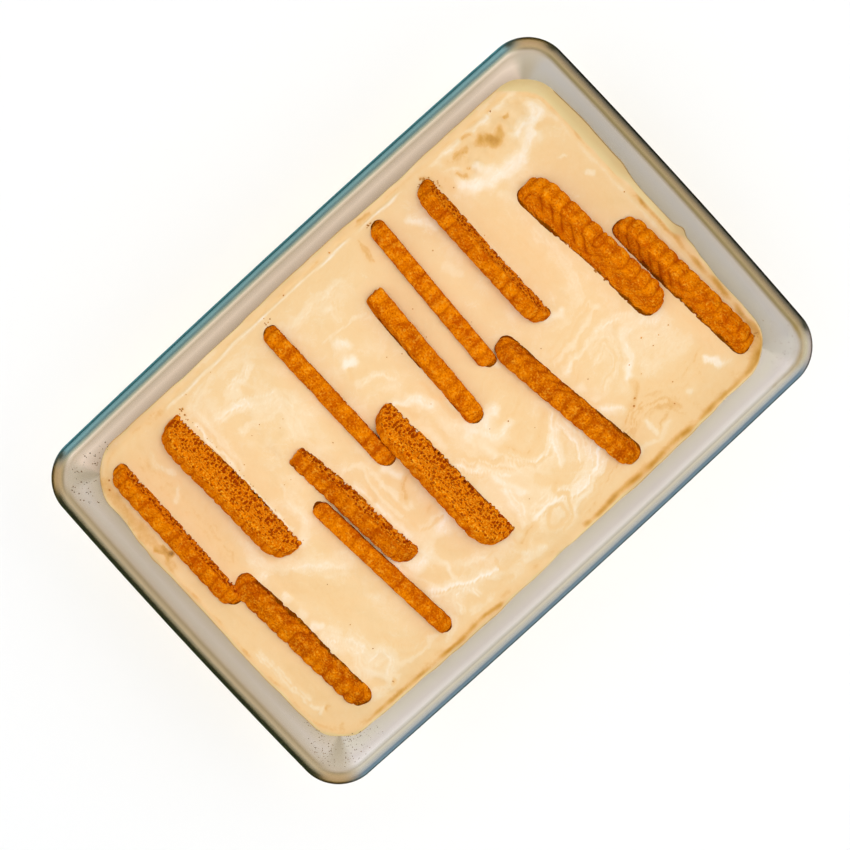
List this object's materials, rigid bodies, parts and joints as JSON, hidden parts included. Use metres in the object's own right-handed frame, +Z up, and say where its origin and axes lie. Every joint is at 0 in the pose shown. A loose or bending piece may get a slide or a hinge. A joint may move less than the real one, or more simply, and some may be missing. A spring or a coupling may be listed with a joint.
{
  "type": "no-bake yoghurt cheesecake in a glass dish",
  "caption": "Rectangular clear glass dish part filled with set yoghurt cream, with caramel biscuits pushed in on edge.",
  "frame": {"origin": "centre of the dish's footprint, on the surface that it stands on", "axes": "+X along the dish's long side, +Y along its short side, +Z up out of the dish"},
  "size_m": [0.225, 0.15, 0.055],
  "materials": {
    "clear_glass": "clear pressed glass, faintly grey",
    "set_cream": "soft set cream, satin, marbled with paler cream",
    "caramel_biscuit": "dry caramel-brown biscuit, matt and porous"
  },
  "bodies": {
    "root": {"dish": "clear_glass", "cream": "set_cream", "biscuit_01": "caramel_biscuit", "biscuit_02": "caramel_biscuit", "biscuit_03": "caramel_biscuit", "biscuit_04": "caramel_biscuit", "biscuit_05": "caramel_biscuit", "biscuit_06": "caramel_biscuit", "biscuit_07": "caramel_biscuit", "biscuit_08": "caramel_biscuit", "biscuit_09": "caramel_biscuit", "biscuit_10": "caramel_biscuit", "biscuit_11": "caramel_biscuit", "biscuit_12": "caramel_biscuit", "biscuit_13": "caramel_biscuit"}
  },
  "joints": []
}
